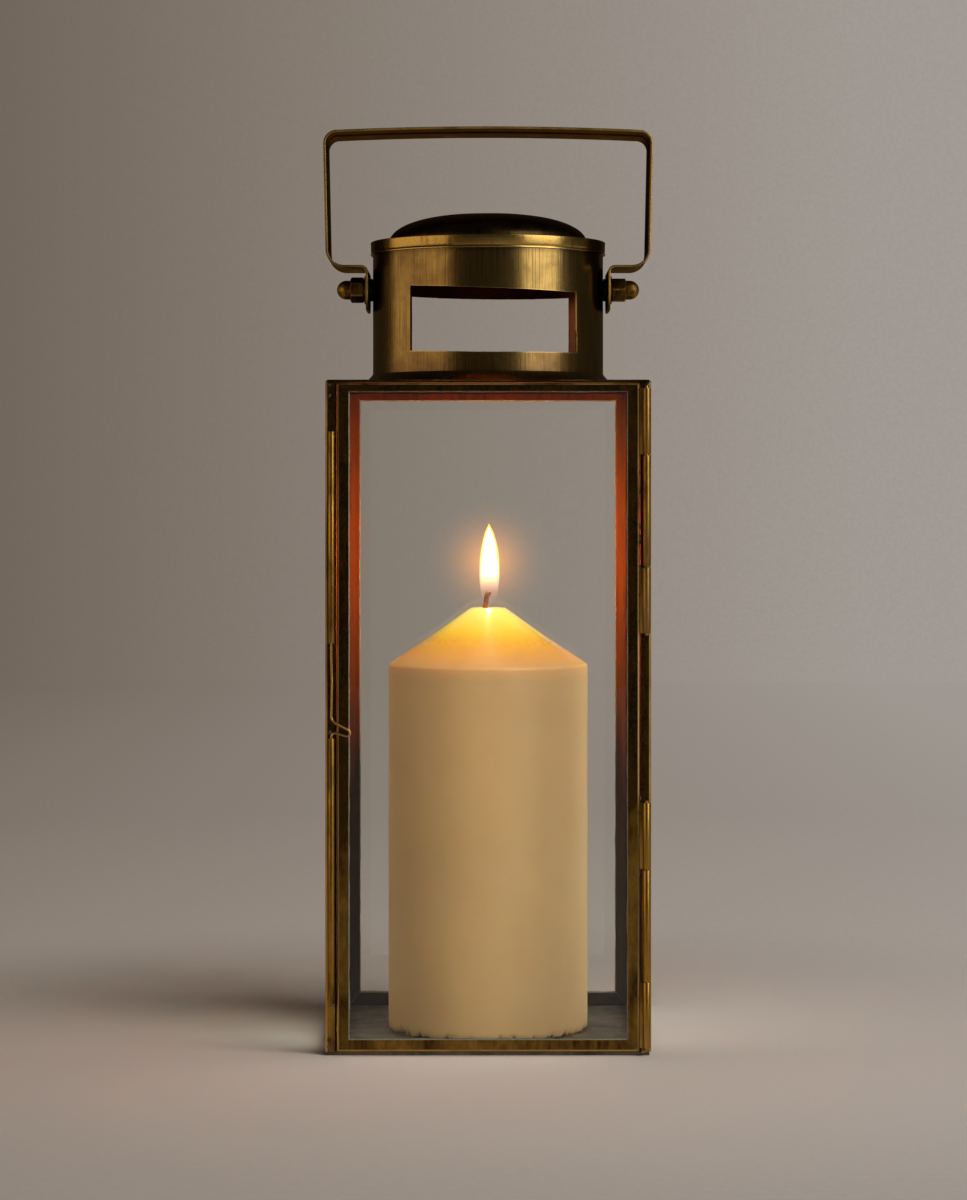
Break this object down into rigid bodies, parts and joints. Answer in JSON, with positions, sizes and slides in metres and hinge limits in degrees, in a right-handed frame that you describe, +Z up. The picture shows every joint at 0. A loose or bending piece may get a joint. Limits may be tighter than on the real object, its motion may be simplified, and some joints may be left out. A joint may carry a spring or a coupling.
{
  "type": "candle lantern",
  "caption": "Tall square glazed lantern with a hinged front door, wire catch, round vented chimney, folding strap handle and a pillar candle inside.",
  "frame": {"origin": "centre of the base, on the surface the lantern stands on", "axes": "+Z up, the door faces -Y, +X to the right as seen from the front"},
  "size_m": [0.1152, 0.112, 0.318],
  "materials": {
    "aged_brass": "aged, brushed",
    "dark_brass": "dark patina",
    "tray_metal": "dull grey patina",
    "clear_glass": "clear, polished",
    "ivory_wax": "satin wax",
    "wick_cotton": "charred cotton",
    "flame": "glowing"
  },
  "bodies": {
    "body": {"base_tray": "tray_metal", "top_plate": "aged_brass", "post_front_left": "aged_brass", "post_front_right": "aged_brass", "post_rear_left": "aged_brass", "post_rear_right": "aged_brass", "left_front_stile": "aged_brass", "left_rear_stile": "aged_brass", "left_top_rail": "aged_brass", "left_bottom_rail": "aged_brass", "left_glass": "clear_glass", "right_front_stile": "aged_brass", "right_rear_stile": "aged_brass", "right_top_rail": "aged_brass", "right_bottom_rail": "aged_brass", "right_glass": "clear_glass", "rear_left_stile": "aged_brass", "rear_right_stile": "aged_brass", "rear_top_rail": "aged_brass", "rear_bottom_rail": "aged_brass", "rear_glass": "clear_glass", "chimney_collar": "aged_brass", "chimney_foot_ring": "aged_brass", "lid_rim": "aged_brass", "lid_dome": "dark_brass", "pivot_bolt_left": "dark_brass", "pivot_bolt_right": "dark_brass", "inner_washer_left": "dark_brass", "inner_washer_right": "dark_brass", "pivot_spacer_left": "dark_brass", "pivot_spacer_right": "dark_brass", "outer_washer_left": "aged_brass", "outer_washer_right": "aged_brass", "acorn_nut_left": "aged_brass", "acorn_nut_right": "aged_brass", "post_knuckle_upper": "aged_brass", "post_knuckle_lower": "aged_brass", "hinge_pin_upper": "aged_brass", "hinge_pin_lower": "aged_brass", "catch_sleeve_upper": "aged_brass", "catch_sleeve_lower": "aged_brass"},
    "door": {"door_left_stile": "aged_brass", "door_right_stile": "aged_brass", "door_top_rail": "aged_brass", "door_bottom_rail": "aged_brass", "door_glass": "clear_glass", "door_knuckle_upper_top": "aged_brass", "door_knuckle_upper_bottom": "aged_brass", "door_knuckle_lower_top": "aged_brass", "door_knuckle_lower_bottom": "aged_brass"},
    "handle": {"handle_strap": "aged_brass"},
    "catch": {"catch_wire": "aged_brass"},
    "candle": {"candle": "ivory_wax", "candle_wick": "wick_cotton"}
  },
  "joints": [
    {"name": "door_hinge", "type": "hinge", "parent": "body", "child": "door", "pos_m": [0.0534, -0.05575, 0.114], "axis": [0, 0, 1], "range_deg": [0, 175]},
    {"name": "catch_turn", "type": "hinge", "parent": "body", "child": "catch", "pos_m": [-0.0529, -0.0553, 0.114], "axis": [0, 0, -1], "range_deg": [0, 150]},
    {"name": "handle_pivot", "type": "hinge", "parent": "body", "child": "handle", "pos_m": [0, 0, 0.2617], "axis": [1, 0, 0], "range_deg": [-105, 105]},
    {"name": "candle_lift", "type": "slide", "parent": "body", "child": "candle", "axis": [0, 0, 1], "range_m": [0, 0.045]}
  ]
}
